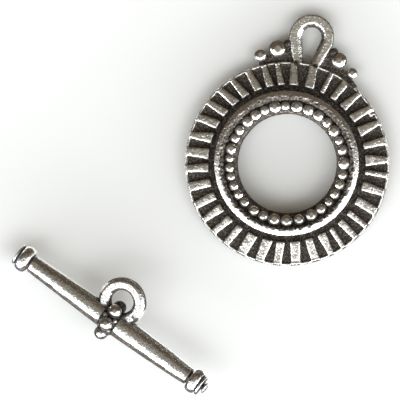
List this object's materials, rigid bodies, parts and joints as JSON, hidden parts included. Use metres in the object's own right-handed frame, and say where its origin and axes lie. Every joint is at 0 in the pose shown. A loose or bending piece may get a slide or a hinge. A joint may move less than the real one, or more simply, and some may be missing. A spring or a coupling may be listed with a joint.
{
  "type": "toggle clasp",
  "caption": "Cast toggle clasp: a flat ring with a sunray border, beaded hole and loop, and a beaded bar with turned end knobs and a loop.",
  "frame": {"origin": "centre of the ring's round hole, at the plane of the ring's flat back, on which the part rests", "axes": "+Z along the hole's axis, up from the back to the beaded face; +Y from the hole's centre to the ring's loop; the bar lies towards -X and -Y"},
  "size_m": [0.0399, 0.0445, 0.0048],
  "materials": {
    "antique_pewter": "antiqued pewter: tops rubbed bright, recesses dark with oxide"
  },
  "bodies": {
    "root": {"clasp_ring": "antique_pewter", "toggle_bar": "antique_pewter"}
  },
  "joints": []
}
